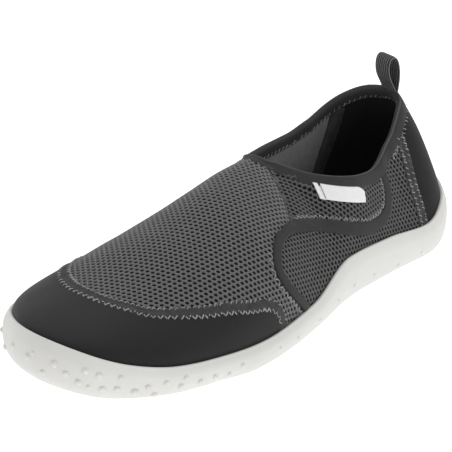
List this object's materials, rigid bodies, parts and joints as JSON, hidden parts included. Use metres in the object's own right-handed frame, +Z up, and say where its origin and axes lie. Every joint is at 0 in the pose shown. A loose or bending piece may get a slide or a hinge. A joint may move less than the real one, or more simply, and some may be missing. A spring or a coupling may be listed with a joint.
{
  "type": "water shoe",
  "caption": "Left slip-on water shoe: air mesh upper with smooth toe cap and heel counter, side strap, bound collar, heel pull loop and a lugged cup sole.",
  "frame": {"origin": "on the floor under the middle of the sole's length and width", "axes": "+Z up, toe towards -Y, heel towards +Y, the foot's outer side towards +X"},
  "size_m": [0.1062, 0.285, 0.0895],
  "materials": {
    "sole_rubber": "matt moulded white rubber",
    "lining_cloth": "plain knitted lining",
    "air_mesh": "open grey air mesh over a dark backing",
    "smooth_cloth": "smooth black stretch fabric with a soft sheen",
    "binding_tape": "dark stretch binding with zigzag stitches",
    "label_tab": "bare white woven tab",
    "webbing": "ribbed webbing tape"
  },
  "bodies": {
    "root": {"outsole": "sole_rubber", "insole": "lining_cloth", "upper": "air_mesh", "toe_cap": "smooth_cloth", "toe_seam": "smooth_cloth", "heel_counter": "smooth_cloth", "counter_seam_outer": "binding_tape", "counter_seam_inner": "binding_tape", "side_strap": "air_mesh", "strap_binding": "binding_tape", "collar_binding": "binding_tape", "side_label": "label_tab", "pull_loop": "webbing"}
  },
  "joints": []
}
